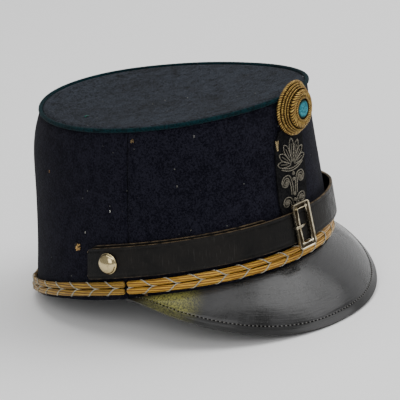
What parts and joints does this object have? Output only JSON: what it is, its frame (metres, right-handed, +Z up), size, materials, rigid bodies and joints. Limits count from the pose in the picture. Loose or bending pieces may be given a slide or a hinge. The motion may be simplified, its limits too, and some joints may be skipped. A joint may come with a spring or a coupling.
{
  "type": "kepi cap",
  "caption": "Soft-sided uniform cap with a sloping cylindrical cloth crown, curved leather peak, gold base cords, buckled chin strap, cockade and embroidered patch.",
  "frame": {"origin": "middle of the footprint on the surface the cap rests on", "axes": "+Z up, -Y towards the wearer's front (the peak), +X towards the wearer's left"},
  "size_m": [0.1774, 0.2303, 0.1439],
  "materials": {
    "navy_cloth": "matt felted wool",
    "top_cloth": "matt felted wool",
    "teal_piping": "matt wool piping",
    "peak_leather": "semi-gloss polished",
    "strap_leather": "worn semi-gloss",
    "gold_cord": "silky metal thread",
    "buckle_metal": "tarnished",
    "button_metal": "polished",
    "gold_bullion": "dull metal thread",
    "teal_boss": "matt",
    "patch_cloth": "matt"
  },
  "bodies": {
    "root": {"crown_front_panel": "navy_cloth", "crown_rear_panel": "navy_cloth", "crown_top": "top_cloth", "crown_piping": "teal_piping", "peak": "peak_leather", "front_cord_lower": "gold_cord", "front_cord_upper": "gold_cord", "rear_cord_lower": "gold_cord", "rear_cord_upper": "gold_cord", "chin_strap": "strap_leather", "chin_strap_tail": "strap_leather", "buckle_frame": "buckle_metal", "buckle_prong": "buckle_metal", "right_side_button": "button_metal", "left_side_button": "button_metal", "cockade_rosette": "gold_bullion", "cockade_boss": "teal_boss", "emblem_patch": "patch_cloth"}
  },
  "joints": []
}
